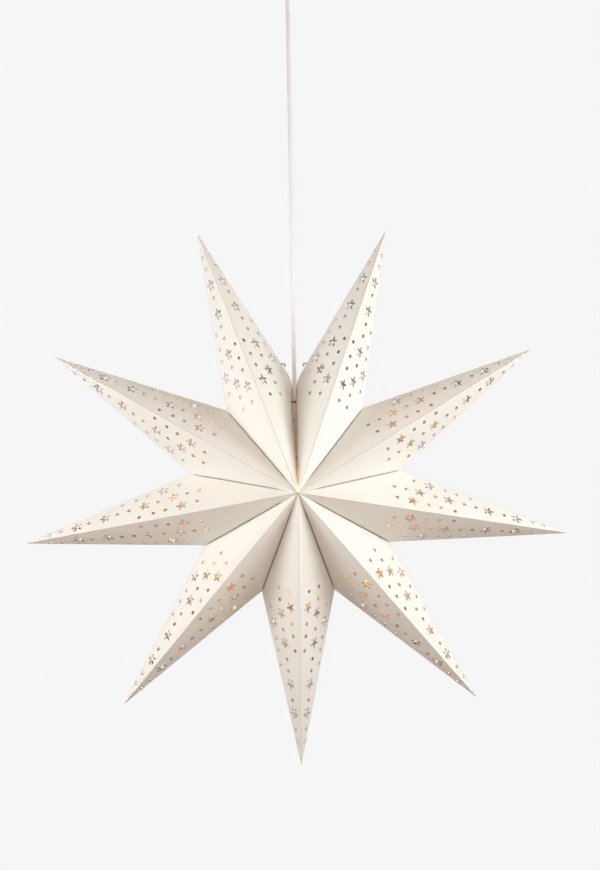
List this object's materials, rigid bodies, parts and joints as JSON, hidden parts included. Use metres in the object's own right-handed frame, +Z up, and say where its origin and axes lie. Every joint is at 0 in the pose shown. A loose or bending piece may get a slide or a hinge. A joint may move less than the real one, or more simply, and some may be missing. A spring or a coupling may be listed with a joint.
{
  "type": "folded paper star pendant lamp",
  "caption": "Flat folded paper star lantern with punched stars, lit from inside by a screw-cap lamp, hung by its cord from a ceiling hook under a sliding cup.",
  "frame": {"origin": "middle of the hook plate's ceiling face", "axes": "+Z up into the ceiling, +Y away from the viewer of the star's front, +X to the right seen from the front"},
  "size_m": [0.5908, 0.16, 0.95],
  "materials": {
    "star_paper": "white card, matt, folded and punched",
    "tie_string": "waxed grey string",
    "bright_wire": "zinc-plated wire",
    "holder_plastic": "white moulded plastic",
    "contact_ceramic": "white electrical porcelain",
    "brass_metal": "bare brass",
    "lead_insulation": "soft wire insulation",
    "bulb_glass": "clear blown glass",
    "cap_metal": "nickel-plated cap",
    "contact_metal": "tinned contact",
    "stem_glass": "clear pressed glass",
    "filament_phosphor": "yellow phosphor coating",
    "cord_jacket": "white flexible cord sheath",
    "hook_steel": "zinc-plated steel",
    "screw_steel": "zinc-plated screw",
    "cup_plastic": "white moulded plastic",
    "grommet_rubber": "white soft rubber"
  },
  "bodies": {
    "ceiling": {"ceiling_hook": "hook_steel"},
    "bail_loop": {"bail": "bright_wire"},
    "pendant": {"suspension_block": "holder_plastic", "clamp_plate": "holder_plastic", "clamp_screws": "screw_steel", "block_terminal_screws": "brass_metal", "pendant_cord": "cord_jacket", "cord_grip": "holder_plastic", "holder_cap": "holder_plastic", "holder_sleeve": "holder_plastic", "contact_block": "contact_ceramic", "holder_terminal_screws": "brass_metal", "screw_shell": "brass_metal", "centre_contact": "brass_metal", "holder_leads": "lead_insulation"},
    "cup": {"ceiling_cup": "cup_plastic", "cup_grommet": "grommet_rubber"},
    "shade": {"point_1": "star_paper", "point_2": "star_paper", "point_3": "star_paper", "point_4": "star_paper", "point_5": "star_paper", "point_6": "star_paper", "point_7": "star_paper", "point_8": "star_paper", "point_9": "star_paper", "front_tie": "tie_string", "back_tie": "tie_string", "wire_bracket": "bright_wire"},
    "ring": {"shade_ring": "holder_plastic"},
    "lamp_tip": {"bulb_contact": "contact_metal"},
    "lamp": {"bulb_globe": "bulb_glass", "bulb_cap": "cap_metal", "bulb_stem": "stem_glass", "led_filaments": "filament_phosphor"}
  },
  "joints": [
    {"name": "swing_front", "type": "hinge", "parent": "ceiling", "child": "bail_loop", "pos_m": [0, 0, -0.03559], "axis": [1, 0, 0], "range_deg": [-20, 20]},
    {"name": "swing_side", "type": "hinge", "parent": "bail_loop", "child": "pendant", "pos_m": [0, 0, -0.05779], "axis": [0, 1, 0], "range_deg": [-20, 20]},
    {"name": "cup_slide", "type": "slide", "parent": "pendant", "child": "cup", "axis": [0, 0, -1], "range_m": [0, 0.15]},
    {"name": "shade_turn", "type": "hinge", "parent": "pendant", "child": "shade", "pos_m": [0, 0, -0.65], "axis": [0, 0, 1], "continuous": true},
    {"name": "ring_turn", "type": "hinge", "parent": "pendant", "child": "ring", "pos_m": [0, 0, -0.615], "axis": [0, 0, -1], "range_deg": [0, 720]},
    {"name": "bulb_turn", "type": "hinge", "parent": "lamp_tip", "child": "lamp", "pos_m": [0, 0, -0.65], "axis": [0, 0, -1], "range_deg": [0, 1800]},
    {"name": "bulb_travel", "type": "slide", "parent": "pendant", "child": "lamp_tip", "axis": [0, 0, -1], "range_m": [0, 0.0141]}
  ],
  "couplings": [
    {"joint": "bulb_turn", "follows": "bulb_travel", "rad_per_m": 2226.5}
  ]
}
